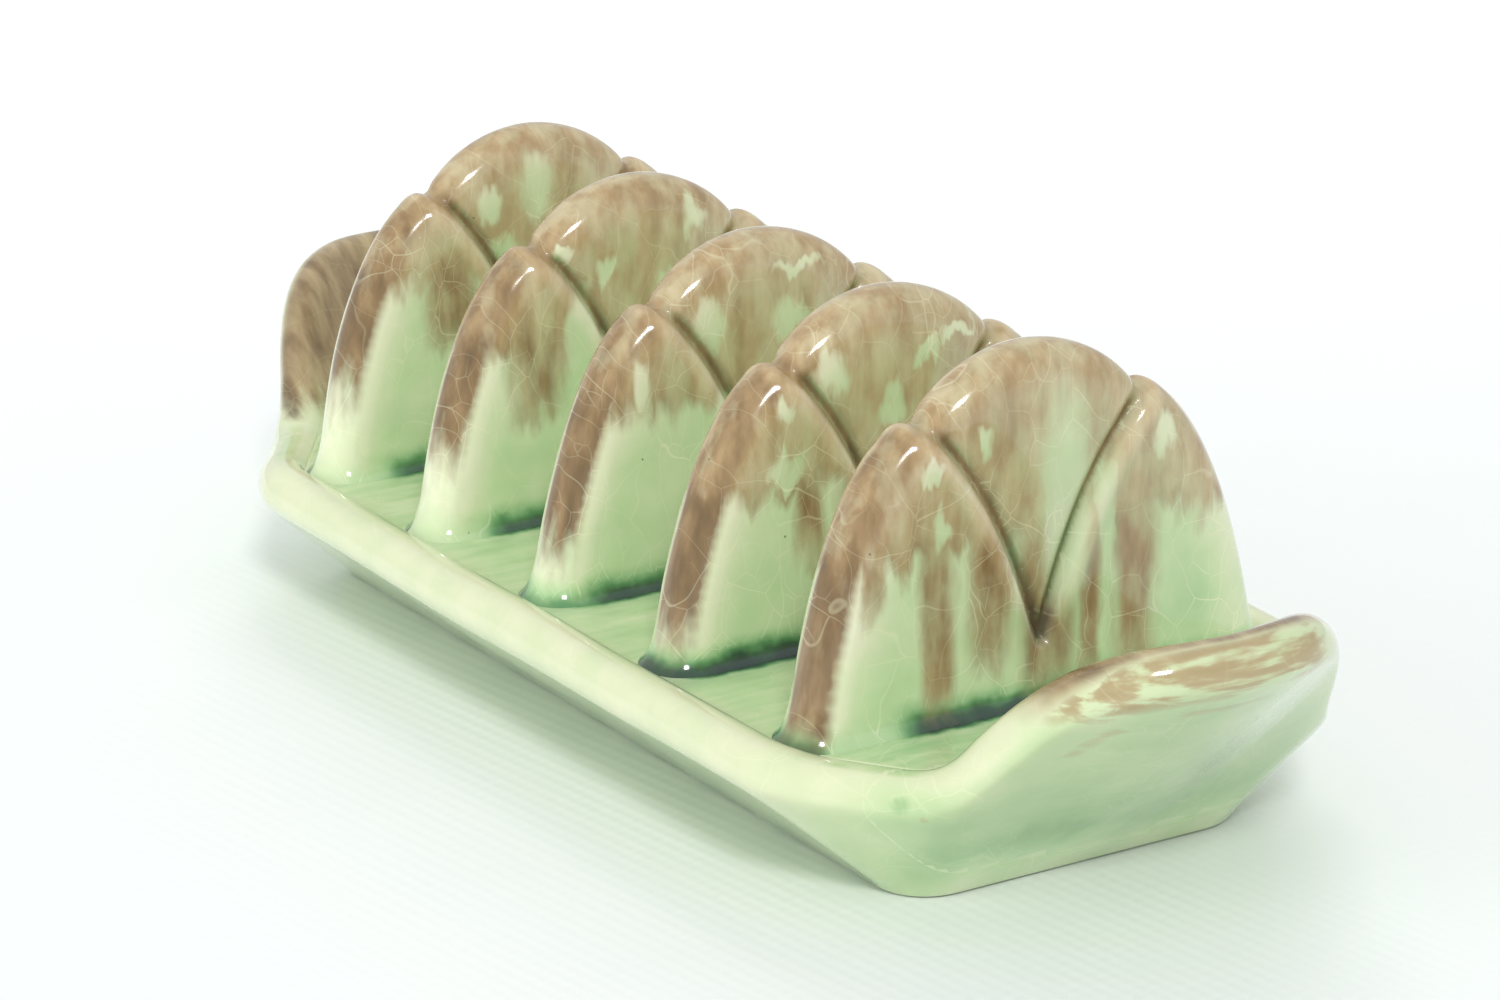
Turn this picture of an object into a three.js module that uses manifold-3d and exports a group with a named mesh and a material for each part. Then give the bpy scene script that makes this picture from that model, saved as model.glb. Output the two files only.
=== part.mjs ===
// A five-bar toast rack in glazed earthenware. A long tray with a foot and a rounded rim carries five
// upright dividers, and each end of the tray carries a grip: a wide lip that flares up and outwards.
// The eight pieces are shaped on their own and luted together with clay before the one glaze firing,
// so nothing moves; here each joint is a thin gap.
// Millimetres. +X runs along the rack, Y across it, +Z up. The origin is under its middle, on the table.
import * as THREE from "three";
import { mergeVertices } from "three/addons/utils/BufferGeometryUtils.js";
import Module from "manifold-3d";

const wasm = await Module();
wasm.setup();

// ---- Driving sizes ----

const jointGap = 0.3; // between two pieces that are luted together

// The tray.
const footHalfLength = 60.9;
const footHalfWidth = 20.9;
const footCorner = 6; // plan radius of the foot's corners
const footChamfer = 0.8; // the foot's edge is rounded off where it meets the table
const footRing = 5; // width of the ring that the tray stands on
const recessDepth = 8; // hollow under the tray, inside the ring
const recessDraft = 2; // how much the hollow narrows on its way up
const floorHeight = 15;
const rimThickness = 6; // also the thickness of the grips' lips
const rimHalfWidth = 32.4; // middle of the tray to the crest of its long rim
const rimHeight = 15.7; // height of that crest
const rimStraight = 50; // half the length over which the long rim runs straight
const floorFillet = 1; // least reach of the curve from the rim's inner face to the floor
const filletShare = 0.45; // more reach for it, for each millimetre of inner face

// The grips.
const gripReach = 86.9; // middle of the rack to the crest of a grip's lip
const gripHeight = 30.4; // height of the lip's crest
const gripTipHalfWidth = 6.6; // half the width of the nearly straight stretch at the lip's middle
const gripJoint = 63; // where the grips are luted on

// The dividers.
const pitch = 25; // from one divider to the next
const dividerThickness = 7;
const petalHeight = 51; // top of the middle petal
const petalFullness = 3.1e-5; // how much flatter than a parabola the petal's top is
const notchY = 12.6; // where the middle petal meets a side leaf on the outline
const notchZ = 45.1;
const leafFootY = 27.2; // half the divider's width at the tray's floor
const leafShoulder = [new THREE.Vector2(15.4, 45.3), new THREE.Vector2(23.6, 39.3)];
const grooveFootZ = 21.4; // bottom of the V where the two leaves cross over the petal
const grooveBend = [new THREE.Vector2(3.3, 32), new THREE.Vector2(6.3, 38.7)];
const grooveRadius = 1.7; // the gouge that drew the grooves
const grooveDepth = 1.2;
// The dividers were set by hand, so each stands a little off its even place and height.
const dividers = [
  { name: "divider_1", drift: 0.9, lift: 0.7 },
  { name: "divider_2", drift: -0.6, lift: 0 },
  { name: "divider_3", drift: 0, lift: -0.3 },
  { name: "divider_4", drift: -0.4, lift: -0.4 },
  { name: "divider_5", drift: 0.1, lift: 0 },
];

// ---- Colours of the glaze ----

const traySage = new THREE.MeshStandardMaterial({ color: 0xd3dfb4, roughness: 0.16, metalness: 0 });
const gripSage = new THREE.MeshStandardMaterial({ color: 0xb3c795, roughness: 0.16, metalness: 0 });
const leafBrown = new THREE.MeshStandardMaterial({ color: 0xbda27c, roughness: 0.16, metalness: 0 });

// ---- Solids ----

function solidOf(geometry) {
  geometry.deleteAttribute("normal");
  geometry.deleteAttribute("uv");
  const merged = mergeVertices(geometry, 1e-4);
  return new wasm.Manifold(
    new wasm.Mesh({
      numProp: 3,
      vertProperties: merged.attributes.position.array,
      triVerts: new Uint32Array(merged.index.array),
    }),
  );
}

function meshOf(solid, name, material) {
  const made = solid.getMesh();
  const geometry = new THREE.BufferGeometry();
  geometry.setAttribute("position", new THREE.BufferAttribute(made.vertProperties, 3));
  geometry.setIndex(new THREE.BufferAttribute(made.triVerts, 1));
  geometry.computeVertexNormals();
  const mesh = new THREE.Mesh(geometry, material);
  mesh.name = name;
  return mesh;
}

// A box between two corners.
function boxSolid(low, high) {
  const size = high.clone().sub(low);
  const box = new THREE.BoxGeometry(size.x, size.y, size.z);
  box.translate((low.x + high.x) / 2, (low.y + high.y) / 2, (low.z + high.z) / 2);
  return solidOf(box);
}

// A closed skin over a stack of rings. Each ring is a closed loop of points, all with as many points,
// and the first and last ring are filled by the triangles that capOf gives.
function skinOf(rings, capOf) {
  const count = rings[0].length;
  const position = rings.flat().flatMap((p) => [p.x, p.y, p.z]);
  const index = [];
  for (let r = 0; r + 1 < rings.length; r++) {
    for (let i = 0; i < count; i++) {
      const a = r * count + i;
      const b = r * count + ((i + 1) % count);
      index.push(a, b, b + count, a, b + count, a + count);
    }
  }
  const last = (rings.length - 1) * count;
  for (const [a, b, c] of capOf(rings[0])) index.push(a, c, b);
  for (const [a, b, c] of capOf(rings[rings.length - 1])) index.push(last + a, last + b, last + c);
  const geometry = new THREE.BufferGeometry();
  geometry.setAttribute("position", new THREE.Float32BufferAttribute(position, 3));
  geometry.setIndex(index);
  return geometry;
}

// ---- The tray and its grips ----

const quarterStraight = 3; // steps along the straight quarter of the rim
const quarterCurved = 14; // steps round the corner to the tip of the grip

// Crest of the rim from the end of its straight stretch, round the corner and up to the grip's tip.
const tip = gripReach - rimStraight;
const side = rimHalfWidth;
const rise = gripHeight - rimHeight;
const crestCurve = new THREE.CatmullRomCurve3(
  [
    new THREE.Vector3(rimStraight - 8, side, rimHeight),
    new THREE.Vector3(rimStraight, 0.994 * side, rimHeight),
    new THREE.Vector3(rimStraight + 0.15 * tip, 0.932 * side, rimHeight - 0.005 * rise),
    new THREE.Vector3(rimStraight + 0.3 * tip, 0.818 * side, rimHeight - 0.015 * rise),
    new THREE.Vector3(rimStraight + 0.45 * tip, 0.71 * side, rimHeight),
    new THREE.Vector3(rimStraight + 0.53 * tip, 0.651 * side, rimHeight + 0.105 * rise),
    new THREE.Vector3(rimStraight + 0.6 * tip, 0.608 * side, rimHeight + 0.285 * rise),
    new THREE.Vector3(rimStraight + 0.7 * tip, 0.546 * side, rimHeight + 0.55 * rise),
    new THREE.Vector3(rimStraight + 0.8 * tip, 0.463 * side, rimHeight + 0.79 * rise),
    new THREE.Vector3(rimStraight + 0.9 * tip, 0.352 * side, rimHeight + 0.94 * rise),
    new THREE.Vector3(rimStraight + 0.975 * tip, gripTipHalfWidth, gripHeight),
    new THREE.Vector3(gripReach, 0, gripHeight),
    new THREE.Vector3(rimStraight + 0.975 * tip, -gripTipHalfWidth, gripHeight),
  ],
  false,
  "centripetal",
);
const crestSegments = crestCurve.points.length - 1;

// Point t of the crest, with 0 at the end of the straight stretch and 1 at the grip's tip.
function crestPoint(t) {
  return crestCurve.getPoint((1 + t * (crestSegments - 2)) / crestSegments);
}

// Point t of the foot's outline, with 0 at the start of its corner and 1 at the middle of its end.
function footPoint(t) {
  const arc = (footCorner * Math.PI) / 2;
  const along = t * (arc + footHalfWidth - footCorner);
  const turn = Math.min(along, arc) / footCorner;
  return new THREE.Vector3(
    footHalfLength - footCorner + footCorner * Math.sin(turn),
    footHalfWidth - footCorner + footCorner * Math.cos(turn) - Math.max(along - arc, 0),
    0,
  );
}

// Stations of one quarter, from the middle of the long side to the tip: foot and crest of each.
const quarter = [];
for (let i = 0; i < quarterStraight; i++) {
  const share = i / quarterStraight;
  quarter.push({
    foot: new THREE.Vector3(share * (footHalfLength - footCorner), footHalfWidth, 0),
    crest: new THREE.Vector3(share * rimStraight, rimHalfWidth, rimHeight),
  });
}
for (let i = 0; i <= quarterCurved; i++) {
  quarter.push({ foot: footPoint(i / quarterCurved), crest: crestPoint(i / quarterCurved) });
}

// All round, anticlockwise seen from above, starting at the middle of the side at +Y.
const flips = [
  { x: -1, y: 1, back: false },
  { x: -1, y: -1, back: true },
  { x: 1, y: -1, back: false },
  { x: 1, y: 1, back: true },
];
const stations = flips.flatMap(({ x, y, back }) => {
  const flip = new THREE.Vector3(x, y, 1);
  const run = quarter.map(({ foot, crest }) => ({
    foot: foot.clone().multiply(flip),
    crest: crest.clone().multiply(flip),
  }));
  return back ? run.reverse().slice(0, -1) : run.slice(0, -1);
});

// The section of the tray's edge at one station, from the foot, up the outer face, over the round rim
// and down the inner face to the floor.
function edgeSection(i) {
  const { foot, crest } = stations[i];
  const ahead = stations[(i + 1) % stations.length].crest;
  const behind = stations[(i + stations.length - 1) % stations.length].crest;
  const along = ahead.clone().sub(behind).normalize();
  const up = crest.clone().sub(foot).normalize();
  const out = along.clone().cross(up).normalize();
  const radius = rimThickness / 2;
  const centre = crest.clone().addScaledVector(up, -radius);
  const inward = new THREE.Vector3(-out.x, -out.y, 0).normalize();
  const section = [
    foot.clone().addScaledVector(inward, footChamfer),
    foot.clone().setZ(footChamfer),
  ];
  const wall = centre.clone().addScaledVector(out, radius);
  section.push(section[1].clone().lerp(wall, 0.5));
  for (let step = 0; step <= 6; step++) {
    const turn = (step / 6) * Math.PI;
    section.push(
      centre
        .clone()
        .addScaledVector(out, radius * Math.cos(turn))
        .addScaledVector(up, radius * Math.sin(turn)),
    );
  }
  const inner = section[section.length - 1];
  const drop = (inner.z - floorHeight) / up.z;
  const root = inner.clone().addScaledVector(up, -drop);
  const floor = root.clone().addScaledVector(inward, floorFillet + filletShare * drop);
  const sweep = new THREE.QuadraticBezierCurve3(inner, root, floor);
  for (const t of [0.25, 0.5, 0.75, 1]) section.push(sweep.getPoint(t));
  return section;
}

// Triangles from a ring's first point: the rings of the tray bulge outwards all round.
function fanCap(ring) {
  return ring.slice(2).map((_, i) => [0, i + 1, i + 2]);
}

function trayBody() {
  const sections = stations.map((_, i) => edgeSection(i));
  const rings = sections[0].map((_, level) => sections.map((section) => section[level]));
  return solidOf(skinOf(rings, fanCap));
}

// The hollow under the tray: a rounded block that narrows towards its top.
function recessBody() {
  const cornerSteps = 4;
  const ringAt = (inset, z) => {
    const corner = footCorner;
    const x = footHalfLength - inset - corner;
    const y = footHalfWidth - inset - corner;
    const ring = [];
    for (const [quadrant, sx, sy] of [[0, 1, 1], [1, -1, 1], [2, -1, -1], [3, 1, -1]]) {
      for (let i = 0; i <= cornerSteps; i++) {
        const angle = ((quadrant + i / cornerSteps) * Math.PI) / 2;
        ring.push(
          new THREE.Vector3(sx * x + corner * Math.cos(angle), sy * y + corner * Math.sin(angle), z),
        );
      }
    }
    return ring;
  };
  const inset = footRing + footChamfer;
  return solidOf(
    skinOf(
      [ringAt(inset, -1), ringAt(inset, 0), ringAt(inset + recessDraft, recessDepth)],
      fanCap,
    ),
  );
}

const farAway = 500; // beyond every piece
function slabOf(lowX, highX, lowZ) {
  return boxSolid(
    new THREE.Vector3(lowX, -farAway, lowZ),
    new THREE.Vector3(highX, farAway, farAway),
  );
}

const wholeTray = trayBody();
const joint = gripJoint;
const tray = wholeTray
  .intersect(slabOf(-joint + jointGap / 2, joint - jointGap / 2, -farAway))
  .subtract(recessBody());
const gripAtPlusX = wholeTray.intersect(slabOf(joint + jointGap / 2, farAway, -farAway));
const gripAtMinusX = wholeTray.intersect(slabOf(-farAway, -joint - jointGap / 2, -farAway));

// ---- The dividers ----

const outlineBelowFloor = 6; // the outline runs on down and is cut off at the floor

// Half of a divider's outline, from the middle of its top to below the floor at +Y, as (y, z).
function halfOutline() {
  const points = [];
  const fall = petalFullness * notchY ** 4;
  const bow = (petalHeight - notchZ - fall) / notchY ** 2;
  const petalSteps = 7;
  for (let i = 0; i < petalSteps; i++) {
    const y = (i / petalSteps) * notchY;
    points.push(new THREE.Vector2(y, petalHeight - bow * y ** 2 - petalFullness * y ** 4));
  }
  const leaf = new THREE.CubicBezierCurve(
    new THREE.Vector2(notchY, notchZ),
    leafShoulder[0],
    leafShoulder[1],
    new THREE.Vector2(leafFootY, floorHeight),
  );
  points.push(...leaf.getPoints(12));
  points.push(new THREE.Vector2(leafFootY + 0.3, floorHeight - outlineBelowFloor));
  return points;
}

// The outline moved inwards by a distance, each point square to its neighbours.
function insetOutline(outline, distance) {
  return outline.map((point, i) => {
    const ahead = outline[(i + 1) % outline.length];
    const behind = outline[(i + outline.length - 1) % outline.length];
    const along = ahead.clone().sub(behind).normalize();
    return new THREE.Vector2(point.x - along.y * distance, point.y + along.x * distance);
  });
}

function outlineCap(ring) {
  const flat = ring.map((p) => new THREE.Vector2(p.y, p.z));
  return THREE.ShapeUtils.triangulateShape(flat, []);
}

// A slab of the outline's shape whose edge is one half-round, standing at x = 0.
function roundedSlab() {
  const half = halfOutline();
  const mirrored = half.slice(1).map((p) => new THREE.Vector2(-p.x, p.y));
  const outline = [...half.slice().reverse(), ...mirrored];
  const radius = dividerThickness / 2;
  const edgeSteps = 8;
  const rings = [];
  for (let i = 0; i <= edgeSteps; i++) {
    const turn = (i / edgeSteps) * Math.PI;
    const ring = insetOutline(outline, radius * (1 - Math.sin(turn)));
    rings.push(ring.map((p) => new THREE.Vector3(-radius * Math.cos(turn), p.x, p.y)));
  }
  return solidOf(skinOf(rings, outlineCap));
}

// The gouge's path on one face, from below the V up to one notch.
function grooveTool(faceX, sideY) {
  const place = (p) => new THREE.Vector3(faceX, sideY * p.x, p.y);
  const path = new THREE.CubicBezierCurve3(
    place(new THREE.Vector2(0, grooveFootZ)),
    place(grooveBend[0]),
    place(grooveBend[1]),
    place(new THREE.Vector2(notchY + 1.2, notchZ + 1)),
  );
  const section = new THREE.Shape();
  section.absarc(0, 0, grooveRadius, 0, 2 * Math.PI);
  const tool = new THREE.ExtrudeGeometry(section, {
    steps: 12,
    curveSegments: 6,
    bevelEnabled: false,
    extrudePath: path,
  });
  return solidOf(tool);
}

function dividerBody() {
  const faceX = dividerThickness / 2 - grooveDepth + grooveRadius;
  let body = roundedSlab();
  for (const x of [-faceX, faceX]) {
    for (const y of [-1, 1]) body = body.subtract(grooveTool(x, y));
  }
  return body;
}

// ---- The rack ----

const rack = new THREE.Group();
rack.add(meshOf(tray, "tray", traySage));
rack.add(meshOf(gripAtMinusX, "grip_1", gripSage));
rack.add(meshOf(gripAtPlusX, "grip_2", gripSage));
const shape = dividerBody();
// Each divider is cut off level just above the floor, and then to the tray's own surface, so that it
// also follows the foot of the rim where it is wide enough to reach it.
const bed = wholeTray.translate(0, 0, jointGap);
dividers.forEach(({ name, drift, lift }, i) => {
  const x = (i - (dividers.length - 1) / 2) * pitch + drift;
  const standing = shape
    .translate(x, 0, lift)
    .intersect(slabOf(-farAway, farAway, floorHeight + jointGap))
    .subtract(bed);
  rack.add(meshOf(standing, name, leafBrown));
});

export default rack;
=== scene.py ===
# %% [markdown]
# # A glazed toast rack, piece by piece
# The rack is majolica-style earthenware: a long tray with a rolled rim, a grip at each end and five
# leaf-shaped dividers, luted together, dipped in a clear green glaze and sponged with a tan one. The
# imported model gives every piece's place and size. Here each plain solid gets the soft, thick-glazed
# shape of fired clay. Everything is in metres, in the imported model's own frame.

# %% Load the frame
import math
import bmesh
import bpy
import numpy as np
from mathutils import Matrix, Vector, noise


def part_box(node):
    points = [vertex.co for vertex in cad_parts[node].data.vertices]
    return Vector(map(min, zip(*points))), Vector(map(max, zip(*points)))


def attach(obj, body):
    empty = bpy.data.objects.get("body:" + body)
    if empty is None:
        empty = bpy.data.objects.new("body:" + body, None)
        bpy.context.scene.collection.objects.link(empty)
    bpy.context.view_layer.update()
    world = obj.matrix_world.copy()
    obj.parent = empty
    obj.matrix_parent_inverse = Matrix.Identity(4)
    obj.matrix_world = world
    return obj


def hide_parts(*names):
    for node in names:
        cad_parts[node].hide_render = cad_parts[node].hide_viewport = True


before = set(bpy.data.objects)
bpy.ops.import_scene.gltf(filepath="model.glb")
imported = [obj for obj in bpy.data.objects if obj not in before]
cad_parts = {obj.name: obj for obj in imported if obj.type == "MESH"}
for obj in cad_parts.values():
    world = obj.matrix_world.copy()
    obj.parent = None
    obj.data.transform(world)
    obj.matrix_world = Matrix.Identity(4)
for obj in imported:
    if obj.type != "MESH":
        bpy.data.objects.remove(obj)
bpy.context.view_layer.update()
MM = 0.001
tray_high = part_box("tray")[1]
grip_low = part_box("grip_2")[0]
DIVIDERS = sorted(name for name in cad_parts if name.startswith("divider"))
print("the frame holds", sorted(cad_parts))

# %% [markdown]
# ## The view
# The camera stands a little above the rack, off its near right-hand corner, with a long lens, so the
# row of dividers shortens only a little. Its place is given by its turn round the rack and its tilt.

# %% Camera
VIEW_TURN = 58.92  # degrees round from looking along +Y
VIEW_TILT = 18.49
VIEW_ROLL = -0.99
VIEW_PLACE = Vector((0.45637, -0.27611, 0.19918))
LENS_MM = 127.2
SENSOR_MM = 36

turn, tilt, roll = (math.radians(a) for a in (VIEW_TURN, VIEW_TILT, VIEW_ROLL))
forward = Vector((-math.sin(turn) * math.cos(tilt), math.cos(turn) * math.cos(tilt), -math.sin(tilt)))
level = Vector((math.cos(turn), math.sin(turn), 0))
right = Matrix.Rotation(roll, 3, -forward) @ level
up = right.cross(forward)
camera = bpy.data.objects.new("camera", bpy.data.cameras.new("camera"))
bpy.context.scene.collection.objects.link(camera)
axes = Matrix((right, up, -forward)).transposed().to_4x4()
camera.matrix_world = Matrix.Translation(VIEW_PLACE) @ axes
camera.data.lens = LENS_MM
camera.data.sensor_width = SENSOR_MM
camera.data.clip_start = 0.01
bpy.context.scene.camera = camera
print("camera at", tuple(VIEW_PLACE), "with a lens of", LENS_MM, "mm")

# %% [markdown]
# ## Working clay by hand
# Thrown and pressed clay is all rounded outlines, so every piece here is built up the same way: a
# circle is added, its edge is extruded from one outline to the next, and each new edge loop is laid on
# its outline. Both ends close on one point, so the skin is watertight before any modifier is used.

# %% Loft one closed skin through rings
def start_clean():
    """Leaves edit mode and lets go of everything, because an operator acts on all that is selected."""
    if bpy.context.object and bpy.context.object.mode != "OBJECT":
        bpy.ops.object.mode_set(mode="OBJECT")
    bpy.ops.object.select_all(action="DESELECT")


def selected_ring(piece, ring):
    """The new edge loop's vertices, in the old loop's order: each hangs on its old vertex."""
    cage = bmesh.from_edit_mesh(piece.data)
    cage.verts.ensure_lookup_table()
    return [
        next(e.other_vert(cage.verts[i]).index for e in cage.verts[i].link_edges
             if e.other_vert(cage.verts[i]).select)
        for i in ring
    ]


def select_ring(piece, ring):
    cage = bmesh.from_edit_mesh(piece.data)
    cage.verts.ensure_lookup_table()
    bpy.ops.mesh.select_all(action="DESELECT")
    wanted = set(ring)
    for edge in cage.edges:
        edge.select_set(edge.verts[0].index in wanted and edge.verts[1].index in wanted)
    bmesh.update_edit_mesh(piece.data)


def lay_ring(piece, ring, points):
    cage = bmesh.from_edit_mesh(piece.data)
    cage.verts.ensure_lookup_table()
    for i, point in zip(ring, points):
        cage.verts[i].co = point
    bmesh.update_edit_mesh(piece.data)


def loft(name, rings):
    """A circle's edge, extruded from ring to ring and closed on a point at both ends."""
    start_clean()
    bpy.ops.mesh.primitive_circle_add(vertices=len(rings[0]), radius=10 * MM)
    piece = bpy.context.object
    piece.name = piece.data.name = name
    bpy.ops.object.mode_set(mode="EDIT")
    bpy.ops.mesh.select_mode(type="EDGE")
    first = ring = list(range(len(rings[0])))
    lay_ring(piece, ring, rings[0])
    for points in rings[1:]:
        select_ring(piece, ring)
        bpy.ops.mesh.extrude_edges_move()
        ring = selected_ring(piece, ring)
        lay_ring(piece, ring, points)
    for end in (ring, first):
        select_ring(piece, end)
        bpy.ops.mesh.extrude_edges_move()
        bpy.ops.mesh.merge(type="CENTER")
    bpy.ops.mesh.select_all(action="SELECT")
    bpy.ops.mesh.remove_doubles(threshold=0.001 * MM)
    bpy.ops.mesh.normals_make_consistent(inside=False)
    bpy.ops.object.mode_set(mode="OBJECT")
    return piece


def finish_with(piece, kind, **settings):
    """Adds a modifier, sets it and applies it."""
    start_clean()
    piece.select_set(True)
    bpy.context.view_layer.objects.active = piece
    bpy.ops.object.modifier_add(type=kind)
    modifier = piece.modifiers[-1]
    for key, value in settings.items():
        setattr(modifier, key, value)
    bpy.ops.object.modifier_apply(modifier=modifier.name)


def corners_of(piece):
    """All vertices of a mesh as rows of x, y, z, and their normals."""
    count = len(piece.data.vertices)
    places, normals = np.empty(count * 3), np.empty(count * 3)
    piece.data.vertices.foreach_get("co", places)
    piece.data.vertex_normals.foreach_get("vector", normals)
    return places.reshape(-1, 3), normals.reshape(-1, 3)


def move_corners(piece, places):
    piece.data.vertices.foreach_set("co", places.reshape(-1))
    piece.data.update()


def paint(piece, layer, values):
    """Keeps one number for each vertex, for the glaze to read."""
    attribute = piece.data.attributes.new(layer, "FLOAT", "POINT")
    attribute.data.foreach_set("value", np.asarray(values, dtype=np.float32))


def smooth_step(values, low, high):
    share = np.clip((values - low) / (high - low), 0, 1)
    return share * share * (3 - 2 * share)


print("helpers ready")

# %% [markdown]
# ## The tray and its grips
# On the real rack the rim is one line that runs straight along the sides, then swings in and climbs to
# the tip of each grip. The clay is about 6 mm thick there and its edge is a half-round. So the tray is
# lofted through closed loops that all follow this line: up the flared wall, over the round, and down to
# the floor. The grips are cut from the same skin, which keeps the wall unbroken across each joint.

# %% Rim line and foot line
FOOT_HALF_LENGTH = 60.9 * MM
FOOT_HALF_WIDTH = 20.9 * MM
FOOT_CORNER = 6 * MM
FOOT_CHAMFER = 0.8 * MM
FOOT_RING = 5 * MM
RECESS_DEPTH = 8 * MM
RECESS_DRAFT = 2 * MM
FLOOR = 15 * MM
RIM_THICKNESS = 6 * MM
RIM_HALF_WIDTH = 32.4 * MM
RIM_HEIGHT = 15.7 * MM
RIM_STRAIGHT = 50 * MM
GRIP_REACH = 86.9 * MM
GRIP_HEIGHT = 30.4 * MM
GRIP_TIP_HALF_WIDTH = 6.6 * MM
FLOOR_FILLET = 1 * MM
FILLET_SHARE = 0.45

tip = GRIP_REACH - RIM_STRAIGHT
rise = GRIP_HEIGHT - RIM_HEIGHT
TIP_SHARE = GRIP_TIP_HALF_WIDTH / RIM_HALF_WIDTH
# Share of the way to the tip, share of the half width, share of the rise.
swing = [
    (-8 * MM / tip, 1, 0),
    (0, 0.994, 0),
    (0.15, 0.932, -0.005),
    (0.3, 0.818, -0.015),
    (0.45, 0.71, 0),
    (0.53, 0.651, 0.105),
    (0.6, 0.608, 0.285),
    (0.7, 0.546, 0.55),
    (0.8, 0.463, 0.79),
    (0.9, 0.352, 0.94),
    (0.975, TIP_SHARE, 1),
    (1, 0, 1),
    (0.975, -TIP_SHARE, 1),
]
knots = [Vector((RIM_STRAIGHT + s * tip, RIM_HALF_WIDTH * w, RIM_HEIGHT + r * rise)) for s, w, r in swing]


def crest_point(t):
    """Point t of the rim line: 0 at the end of its straight stretch, 1 at the grip's tip. Between two
    knots it is a curve whose pull at each knot allows for how far apart the knots are."""
    place = 1 + t * (len(knots) - 3)
    k = min(int(place), len(knots) - 3)
    a, b, c, d = knots[k - 1 : k + 3]
    ab, bc, cd = (math.sqrt((q - p).length) for p, q in ((a, b), (b, c), (c, d)))
    leave = ((b - a) / ab - (c - a) / (ab + bc) + (c - b) / bc) * bc
    arrive = ((c - b) / bc - (d - b) / (bc + cd) + (d - c) / cd) * bc
    s = place - k
    return (
        b * (2 * s**3 - 3 * s**2 + 1) + leave * (s**3 - 2 * s**2 + s)
        + c * (3 * s**2 - 2 * s**3) + arrive * (s**3 - s**2)
    )


def foot_point(t, inset=0.0, height=0.0):
    """Point t of the foot's outline, or of one inside it: 0 at its corner's start, 1 at its end."""
    corner = max(FOOT_CORNER - inset, 2 * MM)
    half_length, half_width = FOOT_HALF_LENGTH - inset, FOOT_HALF_WIDTH - inset
    arc = corner * math.pi / 2
    along = t * (arc + half_width - corner)
    bend = min(along, arc) / corner
    return Vector((
        half_length - corner + corner * math.sin(bend),
        half_width - corner + corner * math.cos(bend) - max(along - arc, 0),
        height,
    ))


def side_point(share, inset=0.0, height=0.0):
    corner = max(FOOT_CORNER - inset, 2 * MM)
    return Vector((share * (FOOT_HALF_LENGTH - inset - corner), FOOT_HALF_WIDTH - inset, height))


print("the rim climbs from", RIM_HEIGHT, "to", round(crest_point(1).z, 4))

# %% Loops of the tray
STRAIGHT_STEPS = 4
CURVED_STEPS = 32
ROUND_STEPS = 8
quarter = [("side", i / STRAIGHT_STEPS) for i in range(STRAIGHT_STEPS)]
quarter += [("end", i / CURVED_STEPS) for i in range(CURVED_STEPS + 1)]
# Four quarters round the rack, anticlockwise from the middle of the +Y side.
turns = [(-1, 1, False), (-1, -1, True), (1, -1, False), (1, 1, True)]
stations = []
for flip_x, flip_y, backwards in turns:
    run = [(kind, t, flip_x, flip_y) for kind, t in quarter]
    stations += (run[::-1] if backwards else run)[:-1]


def place(station, inset=None, height=0.0):
    """A point at a station: on the rim line, or on the foot's outline when an inset is given."""
    kind, t, flip_x, flip_y = station
    if inset is None:
        point = crest_point(t) if kind == "end" else Vector((t * RIM_STRAIGHT, RIM_HALF_WIDTH, RIM_HEIGHT))
    else:
        point = (foot_point if kind == "end" else side_point)(t, inset, height)
    return Vector((point.x * flip_x, point.y * flip_y, point.z))


def edge_section(i):
    """The wall at one station, from the foot up and over the round rim and down to the floor."""
    foot, crest = place(stations[i], 0.0), place(stations[i])
    along = (place(stations[(i + 3) % len(stations)]) - place(stations[i - 3])).normalized()
    climb = (crest - foot).normalized()
    out = along.cross(climb).normalized()
    radius = RIM_THICKNESS / 2
    centre = crest - climb * radius
    inward = Vector((-out.x, -out.y, 0)).normalized()
    lift = Vector((0, 0, FOOT_CHAMFER))
    wall = centre + out * radius
    section = [foot + lift, (foot + lift).lerp(wall, 0.06), (foot + lift).lerp(wall, 0.33)]
    section.append((foot + lift).lerp(wall, 0.66))
    for step in range(ROUND_STEPS + 1):
        angle = step / ROUND_STEPS * math.pi
        section.append(centre + out * radius * math.cos(angle) + climb * radius * math.sin(angle))
    inner = section[-1]
    drop = (inner.z - FLOOR) / climb.z
    root = inner - climb * drop
    floor_edge = root + inward * (FLOOR_FILLET + FILLET_SHARE * drop)
    for t in (0.2, 0.4, 0.6, 0.8, 1):
        section.append(inner * (1 - t) ** 2 + root * 2 * t * (1 - t) + floor_edge * t**2)
    return section


walls = [edge_section(i) for i in range(len(stations))]
ring_out = FOOT_CHAMFER
ring_in = FOOT_CHAMFER + FOOT_RING
under = [
    (ring_in + RECESS_DRAFT + 6 * MM, RECESS_DEPTH),
    (ring_in + RECESS_DRAFT + 1.2 * MM, RECESS_DEPTH),
    (ring_in + RECESS_DRAFT, RECESS_DEPTH - 0.8 * MM),
    (ring_in + 0.6 * MM, 1.6 * MM),
    (ring_in - 0.1 * MM, 0.2 * MM),
    (ring_in - 0.9 * MM, 0.0),
    (ring_out + 0.5 * MM, 0.0),
    (ring_out - 0.3 * MM, 0.1 * MM),
]
loops = [[place(s, inset, height) for s in stations] for inset, height in under]
loops += [[wall[k] for wall in walls] for k in range(len(walls[0]))]
last = loops[-1]
for share in (0.9, 0.7, 0.45, 0.2):
    loops.append([Vector((p.x * (0.35 + 0.65 * share), p.y * share, p.z)) for p in last])
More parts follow.
